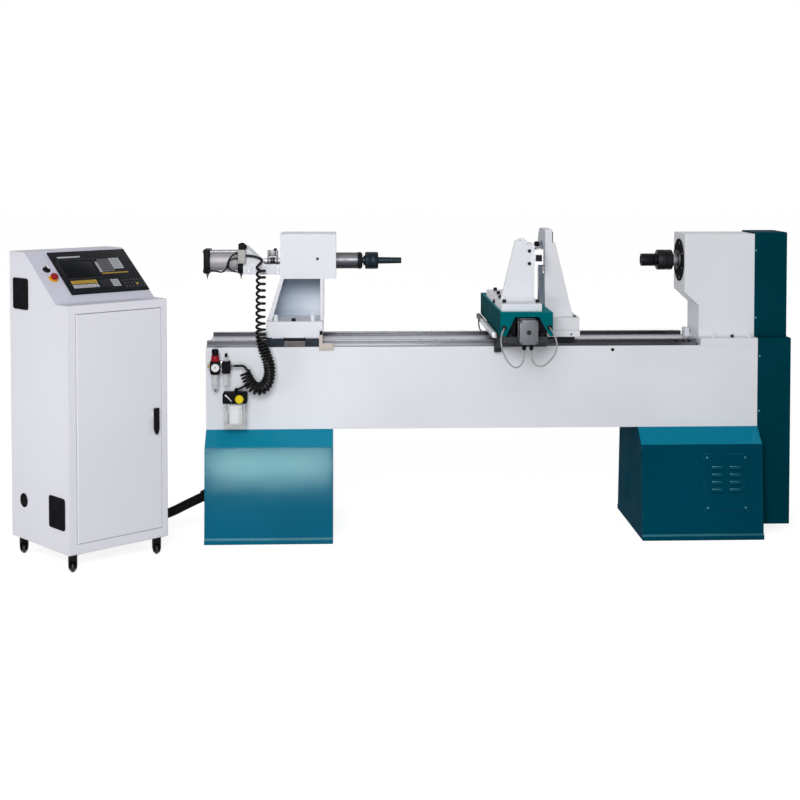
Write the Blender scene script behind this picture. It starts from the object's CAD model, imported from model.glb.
import math
from itertools import product

import bmesh
import bpy
from mathutils import Matrix, Vector


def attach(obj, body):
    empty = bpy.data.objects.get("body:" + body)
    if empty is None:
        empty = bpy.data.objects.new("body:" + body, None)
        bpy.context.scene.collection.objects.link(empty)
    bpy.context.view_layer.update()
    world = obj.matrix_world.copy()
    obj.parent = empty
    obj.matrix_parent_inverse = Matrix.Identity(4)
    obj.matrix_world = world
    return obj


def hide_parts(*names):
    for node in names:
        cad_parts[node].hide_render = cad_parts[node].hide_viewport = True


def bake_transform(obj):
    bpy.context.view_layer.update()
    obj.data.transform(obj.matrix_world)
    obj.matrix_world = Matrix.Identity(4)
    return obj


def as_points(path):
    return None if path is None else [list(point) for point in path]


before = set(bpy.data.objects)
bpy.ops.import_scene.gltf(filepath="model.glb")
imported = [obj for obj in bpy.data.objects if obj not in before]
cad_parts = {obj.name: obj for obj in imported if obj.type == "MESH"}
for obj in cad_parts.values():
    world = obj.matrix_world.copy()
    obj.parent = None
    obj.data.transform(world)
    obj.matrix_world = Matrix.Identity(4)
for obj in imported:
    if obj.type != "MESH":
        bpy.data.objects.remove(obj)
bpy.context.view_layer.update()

# The two bases: plinths of folded sheet steel, welded at the corners and sprayed with teal enamel.
# They stand on a foot lip and carry the ends of the bed. Sizes here and below are the drawing's
# millimetres from the bed's left end, the spindle's plane and the floor; LATHE brings them to metres.
LATHE = Matrix.Translation((-0.960, 0.112, 0)) @ Matrix.Scale(0.001, 4)
UP = (0, 0, 1)
DOWN = (0, 0, -1)
RIGHT = (1, 0, 0)
LEFT = (-1, 0, 0)
BACK = (0, 1, 0)
FRONT = (0, -1, 0)
OUT_OF_PANEL = (0, 0, 1)
BY_NORMAL = ("NewGeometry", "Normal")
BY_PLACE = ("TexCoord", "Object")


def add_node(finish, kind, **sockets):
    """Adds a shader node and sets its sockets by name."""
    made = finish.node_tree.nodes.new("ShaderNode" + kind)
    for name, value in sockets.items():
        made.inputs[name.replace("_", " ")].default_value = value
    return made


def wire(finish, source, target):
    """Joins an output to an input."""
    finish.node_tree.links.new(source, target)


def new_finish(name):
    """A fresh material and its main shader."""
    finish = bpy.data.materials.new(name)
    finish.use_nodes = True
    return finish, finish.node_tree.nodes["Principled BSDF"]


def grain(finish, scale, detail, stretch=(1, 1, 1)):
    """Noise on the piece's own coordinates, drawn out along an axis by a small stretch."""
    place = add_node(finish, "TexCoord")
    turn = add_node(finish, "Mapping", Scale=stretch)
    speck = add_node(finish, "TexNoise", Scale=scale, Detail=detail)
    wire(finish, place.outputs["Object"], turn.inputs["Vector"])
    wire(finish, turn.outputs["Vector"], speck.inputs["Vector"])
    return speck.outputs[0]


def spread(finish, pattern, low, high, inside=(0.3, 0.7)):
    """Turns a pattern into numbers between low and high."""
    made = add_node(finish, "MapRange", From_Min=inside[0], From_Max=inside[1], To_Min=low, To_Max=high)
    wire(finish, pattern, made.inputs["Value"])
    return made.outputs[0]


def ramp(finish, pattern, stops):
    """Turns a pattern into a run of colours; each stop is (position, colour)."""
    made = add_node(finish, "ValToRGB")
    marks = made.color_ramp.elements
    while len(marks) < len(stops):
        marks.new(0.5)
    for mark, (position, colour) in zip(marks, stops):
        mark.position = position
        mark.color = (*colour, 1)
    wire(finish, pattern, made.inputs[0])
    return made.outputs[0]


def tint(finish, pattern, first, second):
    """Turns a pattern of noise into a run between two colours."""
    return ramp(finish, pattern, ((0.3, first), (0.7, second)))


def laid_over(finish, share, under, over):
    """Lays one plain colour over a pattern of colour, by a mask."""
    made = add_node(finish, "Mix")
    made.data_type = "RGBA"
    wire(finish, share, made.inputs[0])
    wire(finish, under, made.inputs[6])
    made.inputs[7].default_value = (*over, 1)
    return made.outputs[2]


def times(finish, first, second):
    """Multiplies two patterns."""
    made = add_node(finish, "Math")
    made.operation = "MULTIPLY"
    wire(finish, first, made.inputs[0])
    wire(finish, second, made.inputs[1])
    return made.outputs[0]


def shades(colour, share):
    """A darker and a lighter shade of one colour."""
    return [value * (1 - share) for value in colour], [min(1, value * (1 + share)) for value in colour]


def rounded_edges(finish, radius):
    """Normals that round sharp edges over, and a mask that grows along those edges."""
    edge = add_node(finish, "Bevel", Radius=radius)
    edge.samples = 6
    face = add_node(finish, "NewGeometry")
    meeting = add_node(finish, "VectorMath")
    meeting.operation = "DOT_PRODUCT"
    wire(finish, edge.outputs[0], meeting.inputs[0])
    wire(finish, face.outputs["Normal"], meeting.inputs[1])
    return edge.outputs[0], spread(finish, meeting.outputs["Value"], 1.0, 0.0, (0.86, 0.995))


def relief(finish, pattern, strength, normal, depth=0.001):
    """Normals of a shallow relief on the surface."""
    made = add_node(finish, "Bump", Strength=strength, Distance=depth)
    wire(finish, pattern, made.inputs["Height"])
    if normal:
        wire(finish, normal, made.inputs["Normal"])
    return made.outputs[0]


def skin(finish, shader, pattern, strength, normal=None):
    """Gives the shader a shallow relief."""
    wire(finish, relief(finish, pattern, strength, normal), shader.inputs["Normal"])


def run_along(finish, source, axis, start, full):
    """A run from nothing to one between two values of a source on one axis."""
    node, output = source
    axes = add_node(finish, "SeparateXYZ")
    wire(finish, add_node(finish, node).outputs[output], axes.inputs[0])
    return spread(finish, axes.outputs[axis], 0.0, 1.0, (start, full))


def more_coats(finish, coats, source, rows):
    """Lays more coats; a row is (axis, value of the source where it starts, where it is full, colour)."""
    for axis, start, full, coat in rows:
        coats = laid_over(finish, run_along(finish, source, axis, start, full), coats, coat)
    return coats


def enamel(
    name, colour, worn, roughness, edge=0.0022, drift=0.04, gloss=0.2, coats_by_face=(), wavy=0.0,
    coats_by_place=(),
):
    """Sprayed paint: slow drifts of colour, orange peel, rounded edges and light wear along them.

    wavy is the depth of the sheet's ripples. More coats go on by a face's normal or by places in metres.
    """
    finish, shader = new_finish(name)
    normal, along = rounded_edges(finish, edge)
    chips = times(finish, along, spread(finish, grain(finish, 70, detail=6), 0.0, 0.5, (0.48, 0.62)))
    coats = tint(finish, grain(finish, 2.4, detail=5), *shades(colour, drift))
    coats = more_coats(finish, coats, BY_NORMAL, coats_by_face)
    coats = more_coats(finish, coats, BY_PLACE, coats_by_place)
    wire(finish, laid_over(finish, chips, coats, worn), shader.inputs["Base Color"])
    handled = grain(finish, 7, detail=7)
    wire(finish, spread(finish, handled, roughness * 0.9, roughness * 1.15), shader.inputs["Roughness"])
    if wavy:
        normal = relief(finish, grain(finish, 5, 3, (1, 1, 1.6)), 1.0, normal, wavy)
    skin(finish, shader, grain(finish, 420, detail=1), 0.05, normal)
    shader.inputs["Specular IOR Level"].default_value = gloss
    return finish


def machined(name, colour, roughness, lay, marks=0.06, drift=0.16, metal=1.0, coats_by_face=()):
    """Bare metal with tool marks; lay is how fine they are on each axis. Dulled metal is partly matt."""
    finish, shader = new_finish(name)
    cuts = grain(finish, 1.0, 4, lay)
    tones = more_coats(finish, tint(finish, cuts, *shades(colour, drift)), BY_NORMAL, coats_by_face)
    wire(finish, tones, shader.inputs["Base Color"])
    wire(finish, spread(finish, cuts, roughness * 0.7, roughness * 1.4), shader.inputs["Roughness"])
    skin(finish, shader, cuts, marks)
    shader.inputs["Metallic"].default_value = metal
    return finish


def moulded(name, colour, roughness, pebble=0.12, drift=0.18, gloss=0.1):
    """Moulded plastic or rubber with a fine pebbled skin and rubbed patches."""
    finish, shader = new_finish(name)
    coats = tint(finish, grain(finish, 28, detail=6), *shades(colour, drift))
    wire(finish, coats, shader.inputs["Base Color"])
    rubbed = grain(finish, 45, detail=5)
    wire(finish, spread(finish, rubbed, roughness * 0.8, roughness * 1.2), shader.inputs["Roughness"])
    skin(finish, shader, grain(finish, 900, detail=1), pebble)
    shader.inputs["Specular IOR Level"].default_value = gloss
    return finish


def dress(finish, *nodes):
    """Gives CAD solids that keep their shape a better finish."""
    for node in nodes:
        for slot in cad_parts[node].material_slots:
            slot.material = finish


def turned(shape, foot, direction, corners, steps, flutes=None, closed=False):
    """Spins (height, radius) corners round an axis on foot; flutes are (depth, from, to) along it."""
    known = set(shape.verts)
    rim = [shape.verts.new((radius, 0, height)) for height, radius in corners]
    runs = [shape.edges.new(pair) for pair in zip(rim, rim[1:])]
    if closed:
        runs.append(shape.edges.new((rim[-1], rim[0])))
    bmesh.ops.spin(
        shape, geom=rim + runs, cent=(0, 0, 0), axis=(0, 0, 1), angle=math.tau, steps=steps, use_merge=True
    )
    bmesh.ops.remove_doubles(shape, verts=[vert for vert in shape.verts if vert not in known], dist=0.001)
    fresh = [vert for vert in shape.verts if vert not in known]
    if flutes:
        depth, low, high = flutes
        for vert in fresh:
            column = round(math.atan2(vert.co.y, vert.co.x) / math.tau * steps)
            reach = vert.co.xy.length
            if column % 2 and low <= vert.co.z <= high and reach > depth:
                vert.co.xy = vert.co.xy * (1 - depth / reach)
    stand = Vector(direction).to_track_quat("Z", "Y").to_matrix().to_4x4()
    bmesh.ops.transform(shape, matrix=Matrix.Translation(foot) @ stand, verts=fresh)


def bar(shape, start, end, radius, chamfer, steps):
    """A round bar between two points, its ends chamfered."""
    run = (Vector(end) - Vector(start)).length
    corners = [(0, 0), (0, radius - chamfer), (chamfer, radius)]
    corners += [(run - chamfer, radius), (run, radius - chamfer), (run, 0)]
    turned(shape, start, Vector(end) - Vector(start), corners, steps)


def round_over(shape, verts, soften, segments):
    """Rounds every edge round these vertices."""
    edges = list({edge for vert in verts for edge in vert.link_edges})
    bmesh.ops.bevel(
        shape, geom=edges, offset=soften, affect="EDGES", segments=segments, profile=0.5, material=-1
    )


def plate(shape, corners, push, soften=0.0, segments=2):
    """A flat outline pushed through into a solid, its edges rounded over when asked."""
    rim = [shape.verts.new(corner) for corner in corners]
    grown = bmesh.ops.extrude_face_region(shape, geom=[shape.faces.new(rim)])
    far = [item for item in grown["geom"] if isinstance(item, bmesh.types.BMVert)]
    bmesh.ops.translate(shape, verts=far, vec=push)
    if soften:
        round_over(shape, rim + far, soften, segments)


def box(shape, low, high, soften=0.0, segments=2):
    """A block between two opposite corners, its edges rounded over when asked."""
    size = [top - bottom for bottom, top in zip(low, high)]
    middle = [(top + bottom) / 2 for bottom, top in zip(low, high)]
    place = Matrix.Translation(middle) @ Matrix.Diagonal((*size, 1))
    made = bmesh.ops.create_cube(shape, size=1.0, matrix=place)
    if soften:
        round_over(shape, made["verts"], soften, segments)


def piece(name, shape, place, finish, body, stands_for=()):
    """Closes a shape off as one object of the part, riding on its body."""
    bmesh.ops.transform(shape, matrix=place, verts=shape.verts)
    bmesh.ops.recalc_face_normals(shape, faces=shape.faces)
    mesh = bpy.data.meshes.new(name)
    shape.to_mesh(mesh)
    shape.free()
    mesh.materials.append(finish)
    mesh.shade_smooth()
    mesh.set_sharp_from_angle(angle=math.radians(38))
    made = bpy.data.objects.new(name, mesh)
    bpy.context.scene.collection.objects.link(made)
    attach(made, body)
    if stands_for:
        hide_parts(*stands_for)


LOW_GLOSS = 0.002
teal_enamel = enamel(
    "teal_enamel", (0.0, 0.12, 0.215), (0.1, 0.24, 0.3), 0.06, edge=0.008, drift=0.1, gloss=0.095,
    coats_by_face=[("Z", 0.4, 0.7, (0.007, 0.225, 0.35))], wavy=0.0003,
)
teal_shader = teal_enamel.node_tree.nodes["Principled BSDF"]
teal_shader.inputs["Specular Tint"].default_value = (0.6, 1, 0.93, 1)
shaded_teal_enamel = enamel(
    "shaded_teal_enamel", (0.0, 0.057, 0.095), (0.06, 0.17, 0.21), 0.5, edge=0.008, drift=0.1,
    gloss=LOW_GLOSS, coats_by_face=[("Z", 0.4, 0.7, (0.006, 0.2, 0.315))],
)
black_plastic = moulded("black_plastic", (0.006, 0.0063, 0.0075), 0.42, gloss=0.05)
dress(teal_enamel, "left_base")
dress(shaded_teal_enamel, "right_base")

GLAND_FOOT = Vector((0, -150, 196.1))
GLAND_RUN = Vector((-22, 0, -10.26)).normalized()
GLAND_BOOT = [(0, 27.1), (0, 29.3), (21, 29.3), (24.5, 27), (24.5, 20), (22.2, 20), (22.2, 27.1)]
gland_boot = bmesh.new()
turned(gland_boot, GLAND_FOOT, GLAND_RUN, GLAND_BOOT, 40, closed=True)
piece("base_gland_boot", gland_boot, LATHE, black_plastic, "frame")

lip_teal = enamel("lip_teal_enamel", (0.08, 0.27, 0.34), (0.2, 0.4, 0.45), 0.3, edge=0.002, drift=0.25)
dim_lip_teal = enamel(
    "dim_lip_teal_enamel", (0.02, 0.13, 0.17), (0.1, 0.25, 0.3), 0.4, edge=0.002, drift=0.25
)
for name, left, right, finish in (("left", 0, 597, lip_teal), ("right", 2045, 2619, dim_lip_teal)):
    lip_beads = bmesh.new()
    for side in (-1, 1):
        bead = [(left, side * 322, 20), (left, side * 313, 20), (left, side * 312, 29)]
        plate(lip_beads, bead, (right - left, 0, 0), 1.0)
    piece(f"{name}_base_lip_beads", lip_beads, LATHE, finish, "frame")
vent_teal = enamel(
    "vent_teal_enamel", (0.0, 0.062, 0.1), (0.03, 0.12, 0.16), 0.5, edge=0.001, drift=0.1, gloss=LOW_GLOSS,
    coats_by_face=[("Z", 0.3, 0.48, (0.004, 0.078, 0.118))],
)
LEAN = math.atan2(40, 444)
VENT_HEIGHT = 266
vent_place = Matrix.Translation((2445, -315 + VENT_HEIGHT * math.tan(LEAN), VENT_HEIGHT))
VENT = LATHE @ vent_place @ Matrix.Rotation(math.pi / 2 - LEAN, 4, "X")
VENT_SHEET = 2.5
hoods = bmesh.new()
hood_edges = bmesh.new()
for column, row in product((-42.5, 42.5), (-36.5, -1.5, 33.5, 68.5)):
    outline = [(column - 27, row + 10, VENT_SHEET), (column - 27, row - 6, VENT_SHEET + 8)]
    outline += [(column - 27, row - 8, VENT_SHEET + 8), (column - 27, row - 8, VENT_SHEET)]
    plate(hoods, outline, (54, 0, 0), 1.6, 3)
    worn_edge = [(column - 26, row + 7.5, VENT_SHEET + 1), (column - 26, row + 1.5, VENT_SHEET + 4)]
    worn_edge += [(column - 21, row + 4, VENT_SHEET + 2.75), (column + 25, row + 6, VENT_SHEET + 1.75)]
    plate(hood_edges, worn_edge, (0, 0.4, 0.8))
piece("vent_louvres", hoods, VENT, vent_teal, "frame")
piece("vent_louvre_edges", hood_edges, VENT, lip_teal, "frame")
hip_teal = enamel(
    "hip_teal_enamel", (0.012, 0.23, 0.36), (0.1, 0.3, 0.4), 0.5, edge=0.002, drift=0.1, gloss=LOW_GLOSS
)
hip = bmesh.new()
plate(hip, [(2562, -275.3, 444.4), (2617, -275.3, 444.4), (2604, -191.6, 512.4)], (0, -0.94, 1.16), 0.2)
piece("right_base_hip", hip, LATHE, hip_teal, "frame")
vent_screws = bmesh.new()
PAN_HEAD = [(0, 0), (0, 5), (1.4, 5), (2.8, 3.6), (3.3, 1.6), (2.2, 1.4), (2.2, 0)]
for column, row in product((-90, 90), (-118, 116)):
    turned(vent_screws, (column, row, VENT_SHEET), OUT_OF_PANEL, PAN_HEAD, 16)
piece("vent_screws", vent_screws, VENT, lip_teal, "frame")

# The bed: a long box beam welded from plate, ground flat on top and sprayed white.
# It lies on the bases' shoulders; a plugged lifting hole shows near the top of its front.
white_enamel = enamel("white_enamel", (0.755, 0.771, 0.82), (0.62, 0.63, 0.67), 0.36)
dress(white_enamel, "bed")
bed_plug = bmesh.new()
plug_corners = [(0, 0), (0, 8), (1.2, 8), (2, 6.5), (1.4, 4), (1.4, 0)]
turned(bed_plug, (1922, -189.5, 882), FRONT, plug_corners, 20)
piece("bed_plug", bed_plug, LATHE, black_plastic, "frame")

# The ways: a ground steel plate with two profiled guide rails screwed down along it.
# Each rail screw is hidden under a flush plastic cap. The carriage's rack is screwed on behind the bed.
way_steel = machined("way_steel", (0.56, 0.57, 0.62), 0.4, (2.5, 60, 60), drift=0.1, metal=0.6)
RAIL_TONES = (
    (-0.96, 0.2), (-0.8, 0.19), (-0.55, 0.11), (-0.36, 0.2), (0.25, 0.2), (0.55, 0.06), (1.26, 0.055),
    (1.37, 0.16),
)
RAIL_START, RAIL_END = RAIL_TONES[0][0], RAIL_TONES[-1][0]
rail_steel, rail_shader = new_finish("rail_steel")
along_rail = run_along(rail_steel, BY_PLACE, "X", RAIL_START, RAIL_END)
rail_stops = []
for station, tone in RAIL_TONES:
    rail_stops.append(((station - RAIL_START) / (RAIL_END - RAIL_START), (tone, tone * 1.02, tone * 1.14)))
rail_cuts = grain(rail_steel, 1.0, 4, (2.2, 90, 90))
oiled = add_node(rail_steel, "Mix")
oiled.data_type = "RGBA"
oiled.blend_type = "MULTIPLY"
oiled.inputs[0].default_value = 1.0
wire(rail_steel, ramp(rail_steel, along_rail, rail_stops), oiled.inputs[6])
wire(rail_steel, tint(rail_steel, rail_cuts, (0.72, 0.72, 0.72), (1, 1, 1)), oiled.inputs[7])
wire(rail_steel, oiled.outputs[2], rail_shader.inputs["Base Color"])
wire(rail_steel, spread(rail_steel, rail_cuts, 0.26, 0.46), rail_shader.inputs["Roughness"])
skin(rail_steel, rail_shader, rail_cuts, 0.06)
rail_shader.inputs["Metallic"].default_value = 1.0
way_plate = bmesh.new()
box(way_plate, (5, -190, 901), (2330, 190, 914), 0.8)
piece("way_plate", way_plate, LATHE, way_steel, "frame", ["ways"])
way_edge = bmesh.new()
box(way_edge, (5, -190.35, 901.5), (2330, -189, 914.2), 0.2)
piece("way_front_edge", way_edge, LATHE, rail_steel, "frame")
RAIL_OFFSETS = (-164.5, 164.5)
RAIL_HALF = [(17.5, 914), (17.5, 919), (15, 921), (15, 924), (17.5, 926), (17.5, 931)]
rails = bmesh.new()
for offset in RAIL_OFFSETS:
    outline = [(5, offset + wide, height) for wide, height in RAIL_HALF]
    outline += [(5, offset - wide, height) for wide, height in reversed(RAIL_HALF)]
    plate(rails, outline, (2320, 0, 0), 0.5)
piece("guide_rails", rails, LATHE, rail_steel, "frame", ["ways"])
PINION_STATION = 1476
PITCH_HEIGHT = 862
MODULE = 4
FLANK = MODULE * math.tan(math.radians(20))
rack = bmesh.new()
RACK_LEFT = 60
RACK_RIGHT = 2290
RACK_BACK = PITCH_HEIGHT + 36
rack_corners = [(RACK_RIGHT, RACK_BACK), (RACK_LEFT, RACK_BACK), (RACK_LEFT, PITCH_HEIGHT + MODULE)]
for count in range(-112, 64):
    tooth = PINION_STATION + (count + 0.5) * math.pi * MODULE
    for side in (-1, 1):
        for height in (side * -MODULE, side * MODULE):
            reach = side * 2.3 + (FLANK if height * side > 0 else -FLANK) * side
            rack_corners.append((tooth + reach, PITCH_HEIGHT + height))
rack_corners.append((RACK_RIGHT, PITCH_HEIGHT + MODULE))
plate(rack, [(station, 190, height) for station, height in rack_corners], (0, 24, 0))
piece("carriage_rack", rack, LATHE, rail_steel, "frame", ["ways"])
caps = bmesh.new()
cap_corners = [(0, 0), (0, 6.5), (0.6, 6.5), (0.6, 0)]
for offset, station in product(RAIL_OFFSETS, range(45, 2286, 80)):
    turned(caps, (station, offset, 930.6), UP, cap_corners, 14)
piece("rail_caps", caps, LATHE, black_plastic, "frame")


def cap_screw(shape, seat, direction, radius, height):
    """A socket-head screw standing on its seat."""
    hole = radius * 0.52
    corners = [(0, 0), (0, radius), (height * 0.86, radius), (height, radius * 0.86), (height, hole)]
    corners += [(height * 0.45, hole), (height * 0.38, 0)]
    turned(shape, seat, direction, corners, 18)


def screw_set(name, finish, body, slot, *rows):
    """Socket-head screws on the lathe as one piece; each row is (seats, direction, radius, height)."""
    shape = bmesh.new()
    for seats, direction, radius, height in rows:
        for seat in seats:
            cap_screw(shape, seat, direction, radius, height)
    piece(name, shape, LATHE, finish, body)


black_oxide = machined("black_oxide", (0.015, 0.0155, 0.018), 0.42, (160, 160, 160), drift=0.25)
end_stop = bmesh.new()
box(end_stop, (2320, 40, 914), (2343, 110, 956), 2.0)
piece("way_end_stop", end_stop, LATHE, white_enamel, "frame")
screw_set(
    "way_end_screws", black_oxide, "frame", "dark_steel",
    (product((2232, 2263, 2289), [-182], [922.5]), FRONT, 6, 5),
    ([(2322, -190, 907)], FRONT, 4, 4),
)

# The headstock: a welded housing, sprayed white, bored for the spindle and bolted down by its foot.
# A black bearing flange is screwed on its left face, and the ground spindle runs through both.
dress(white_enamel, "headstock")
blackened = machined("blackened_iron", (0.010, 0.0105, 0.0125), 0.46, (60, 60, 60), drift=0.3)
turned_steel = machined("turned_steel", (0.28, 0.285, 0.30), 0.3, (60, 12, 12), marks=0.03)
dim_steel = machined("dim_steel", (0.11, 0.112, 0.12), 0.4, (90, 90, 90), drift=0.3)
matte_black = moulded("matte_black", (0.014, 0.0145, 0.0165), 0.6, gloss=LOW_GLOSS)
SPINDLE_Z = 1296
FLANGE_BACK = 2281
FLANGE_FACE = 2276
flange = bmesh.new()
flange_corners = [(0, 52), (0, 103), (4, 103), (5, 102), (5, 52)]
turned(flange, (FLANGE_BACK, 0, SPINDLE_Z), LEFT, flange_corners, 64, closed=True)
piece("bearing_flange_ring", flange, LATHE, matte_black, "frame", ["bearing_flange"])
seal = bmesh.new()
turned(seal, (2268, 0, SPINDLE_Z), LEFT, [(0, 30.4), (0, 47.6), (1.6, 47), (1.6, 30.4)], 48, closed=True)
piece("spindle_seal", seal, LATHE, black_plastic, "spindle_unit")
dress(turned_steel, "spindle_bearings", "spindle")
FOOT_TOP = 934
foot_seats = product([2504], (-150, 150), [FOOT_TOP])
screw_set("headstock_black_screws", black_oxide, "frame", "dark_steel", (foot_seats, UP, 8.5, 12))
foot_caps = bmesh.new()
foot_cap_corners = [(0, 0), (0, 10), (9, 10), (12, 7), (12.6, 0)]
for seat in product((2416, 2588), (-150, 150), [FOOT_TOP]):
    turned(foot_caps, seat, UP, foot_cap_corners, 20)
piece("headstock_white_caps", foot_caps, LATHE, white_enamel, "frame")
FLANGE_SCREWS = 8
BOLT_CIRCLE = 90
flange_seats = []
for count in range(FLANGE_SCREWS):
    angle = math.tau * (count + 0.5) / FLANGE_SCREWS
    across, up = BOLT_CIRCLE * math.cos(angle), BOLT_CIRCLE * math.sin(angle)
    flange_seats.append((FLANGE_FACE, across, SPINDLE_Z + up))
screw_set("flange_screws", dim_steel, "frame", "dark_steel", (flange_seats, LEFT, 5.5, 4))

# The drive centre: a black chuck nut with a knurled grip, screwed on the spindle's nose,
# holding a turned cup centre whose rim and point bite into the blank.
chuck = bmesh.new()
chuck_corners = [(0, 0), (0, 40), (3, 46), (6, 49), (30, 49), (31.5, 47), (34.5, 47), (36, 49), (73, 49)]
chuck_corners += [(76, 47), (78, 43), (78, 0)]
turned(chuck, (2245, 0, SPINDLE_Z), LEFT, chuck_corners, 72, (1.5, 35, 71))
piece("chuck_nut", chuck, LATHE, black_oxide, "spindle_unit", ["drive_centre"])
cup = bmesh.new()
cup_corners = [(0, 0), (0, 30.5), (9, 30.5), (10.5, 29.4), (12, 30.5), (73, 30.5), (75, 29), (75, 23)]
cup_corners += [(64, 17), (62, 7), (77, 0)]
turned(cup, (2167, 0, SPINDLE_Z), LEFT, cup_corners, 40)
piece("cup_centre", cup, LATHE, blackened, "spindle_unit", ["drive_centre"])

# The drive: a flange motor inside the right base turns the spindle through two pulleys and a flat belt.
# The belt runs in a cover of folded sheet, sprayed a darker teal with the small screws that hold it.
dark_teal_enamel = enamel(
    "dark_teal_enamel", (0.0, 0.042, 0.061), (0.03, 0.11, 0.13), 0.5, edge=0.003, drift=0.1, gloss=LOW_GLOSS
)
aluminium = machined("cast_aluminium", (0.60, 0.60, 0.62), 0.34, (120, 120, 120), drift=0.12)
belt_rubber = moulded("belt_rubber", (0.011, 0.011, 0.012), 0.7, pebble=0.3, gloss=0.1)
dress(dark_teal_enamel, "belt_cover")
dress(blackened, "drive_motor")
dress(aluminium, "spindle_pulley", "motor_pulley")
dress(belt_rubber, "drive_belt")
COVER_X = 2626
cover_screws = bmesh.new()
for depth, height in ((115, 1347), (115, 1024), (190, 848), (190, 586), (190, 110)):
    turned(cover_screws, (COVER_X, -depth, height), FRONT, PAN_HEAD, 16)
    turned(cover_screws, (COVER_X, depth, height), BACK, PAN_HEAD, 16)
piece("cover_screws", cover_screws, LATHE, lip_teal, "frame")

# The tailstock: a white welded body that slides on the ways, with an open-fronted web under its head.
# Two round posts and four bolts stand on its base, a bent plate guards the front rail and felts wipe it.
# Inside the web the back wall keeps its blue-grey primer.
dress(white_enamel, "tailstock_body")
dress(way_steel, "tailstock_guide_blocks")
TAIL_SHELF = 1020
posts = bmesh.new()
post_corners = [(0, 0), (0, 10.5), (28, 10.5), (31, 8), (31.5, 0)]
for station in (327, 502):
    turned(posts, (station, -158, TAIL_SHELF), UP, post_corners, 24)
piece("tailstock_posts", posts, LATHE, white_enamel, "tailstock")
bolt_places = ((411, -158), (330, 150), (411, 150), (500, 150))
bolt_seats = [(*place, TAIL_SHELF) for place in bolt_places]
screw_set("tailstock_bolts", black_oxide, "tailstock", "dark_steel", (bolt_seats, UP, 10, 14))
oil_plug = bmesh.new()
turned(oil_plug, (523, -114.6, 1312), FRONT, [(0, 0), (0, 7), (0.8, 7), (0.8, 4), (0.2, 0)], 16)
piece("tailstock_oil_plug", oil_plug, LATHE, black_plastic, "tailstock")
cream_primer = enamel("cream_primer", (0.55, 0.50, 0.46), (0.4, 0.38, 0.36), 0.5)
guard = bmesh.new()
box(guard, (531.5, -197.6, 886.5), (548.5, -190.6, 958.5), 0.8)
box(guard, (531.5, -197.8, 886.5), (600.5, -190.4, 919.5), 0.8)
piece("rail_guard_plate", guard, LATHE, cream_primer, "tailstock")
TAIL_SOLE = 944
wipers = bmesh.new()
for offset in RAIL_OFFSETS:
    for left in (366, 460):
        for inner, outer in ((-30, -18.2), (18.2, 30)):
            box(wipers, (left, offset + inner, 917), (left + 6, offset + outer, TAIL_SOLE), 1.0)
        box(wipers, (left, offset - 30, 932.2), (left + 6, offset + 30, TAIL_SOLE), 1.0)
    box(wipers, (283, offset - 22, 931.8), (309, offset + 22, TAIL_SOLE), 1.0)
box(wipers, (367, -196.5, 931), (465, -194.5, 945), 0.6)
box(wipers, (534, -192, 958.2), (548, -175.2, 976), 1.5)
piece("tailstock_wipers", wipers, LATHE, black_plastic, "tailstock")
pads = bmesh.new()
for (left, right), offset in product(((310, 365), (467, 534)), RAIL_OFFSETS):
    box(pads, (left, offset - 12, 931.8), (right, offset + 12, TAIL_SOLE), 1.0)
piece("tailstock_pads", pads, LATHE, white_enamel, "tailstock")
dark_felt = moulded("dark_felt", (0.032, 0.042, 0.056), 0.8, gloss=LOW_GLOSS)
felts = bmesh.new()
for left, right in ((284, 368), (466, 531)):
    box(felts, (left, -193.6, 904), (right, -191.2, 943), 0.6)
piece("tailstock_felts", felts, LATHE, dark_felt, "tailstock")
grey_felt = moulded("grey_felt", (0.17, 0.155, 0.16), 0.8, gloss=LOW_GLOSS)
scraper = bmesh.new()
box(scraper, (368.2, -195.6, 904), (465.8, -194.55, 930.8), 0.2)
piece("tailstock_scraper", scraper, LATHE, grey_felt, "tailstock")
thin_from, thin_full = [(LATHE @ Vector((station, 0, 0))).x for station in (390, 530)]
blue_primer = enamel(
    "blue_primer", (0.55, 0.625, 0.735), (0.5, 0.54, 0.6), 0.5, drift=0.15, gloss=0.05,
    coats_by_place=[
        ("X", thin_from, thin_full, (0.86, 0.9, 0.96)),
        ("Z", 1.06, 1.2, (0.28, 0.335, 0.415)),
    ],
)
web_lining = bmesh.new()
web_corners = ((363.5, 1216.6), (535.6, 1216.6), (535.6, 1020.4), (307.7, 1020.4))
plate(web_lining, [(station, 98.2, height) for station, height in web_corners], (0, 1.2, 0), 0.2)
piece("tailstock_web_lining", web_lining, LATHE, blue_primer, "tailstock")

# The quill: a ground steel bar with a slotted black nut that keeps the live centre in.
# The live centre turns on its own bearings: a thick blued body and a long tapered pin.
quill_steel = machined(
    "quill_steel", (0.05, 0.052, 0.06), 0.32, (40, 5, 5), marks=0.02, metal=0.8,
    coats_by_face=[("Z", -0.12, 0.2, (0.17, 0.171, 0.188)), ("Z", 0.65, 0.95, (0.055, 0.057, 0.064))],
)
QUILL_BACK = 430
QUILL_NOSE = 715
quill = bmesh.new()
bar(quill, (QUILL_BACK, 0, SPINDLE_Z), (QUILL_NOSE, 0, SPINDLE_Z), 39, 1.0, 48)
piece("quill_bar", quill, LATHE, quill_steel, "quill_unit", ["quill"])
nut = bmesh.new()
nut_corners = [(0, 15.5), (0, 39), (2, 41), (13, 41), (23, 35), (23, 15.5)]
turned(nut, (QUILL_NOSE, 0, SPINDLE_Z), RIGHT, nut_corners, 48, (1.4, 4, 19), closed=True)
piece("quill_nut", nut, LATHE, black_oxide, "quill_unit", ["quill"])
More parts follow.
